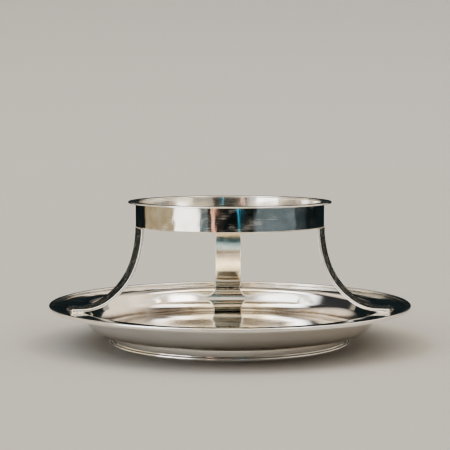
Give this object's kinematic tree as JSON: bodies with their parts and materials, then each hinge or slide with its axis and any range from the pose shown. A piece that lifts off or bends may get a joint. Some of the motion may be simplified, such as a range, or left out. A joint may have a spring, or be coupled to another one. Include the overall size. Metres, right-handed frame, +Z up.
{
  "type": "footed paten plate with raised collar",
  "caption": "Round silver paten plate on a low foot ring, with an open collar held above its well on curved strap legs.",
  "frame": {"origin": "on the plate's axis, at the level that the foot ring rests on", "axes": "+Z up along the axis of the plate and the collar; +Y towards the back leg; -Y towards the open side between the two side legs"},
  "size_m": [0.16, 0.16, 0.0634],
  "materials": {
    "polished_silver": "hand polished over planishing",
    "burnished_edge": "burnished wire and turned edges",
    "brushed_silver": "satin, brushed along the strap, with filed edges",
    "silver_solder": "hard solder, cleaned and polished with the piece"
  },
  "bodies": {
    "root": {"plate_dish": "polished_silver", "rim_wire": "burnished_edge", "foot_ring": "polished_silver", "foot_base_wire": "burnished_edge", "foot_ring_solder": "silver_solder", "collar_band": "polished_silver", "collar_lip": "burnished_edge", "strap_leg_back": "brushed_silver", "strap_leg_left": "brushed_silver", "strap_leg_right": "brushed_silver", "leg_foot_solder": "silver_solder", "leg_top_solder": "silver_solder"}
  },
  "joints": []
}
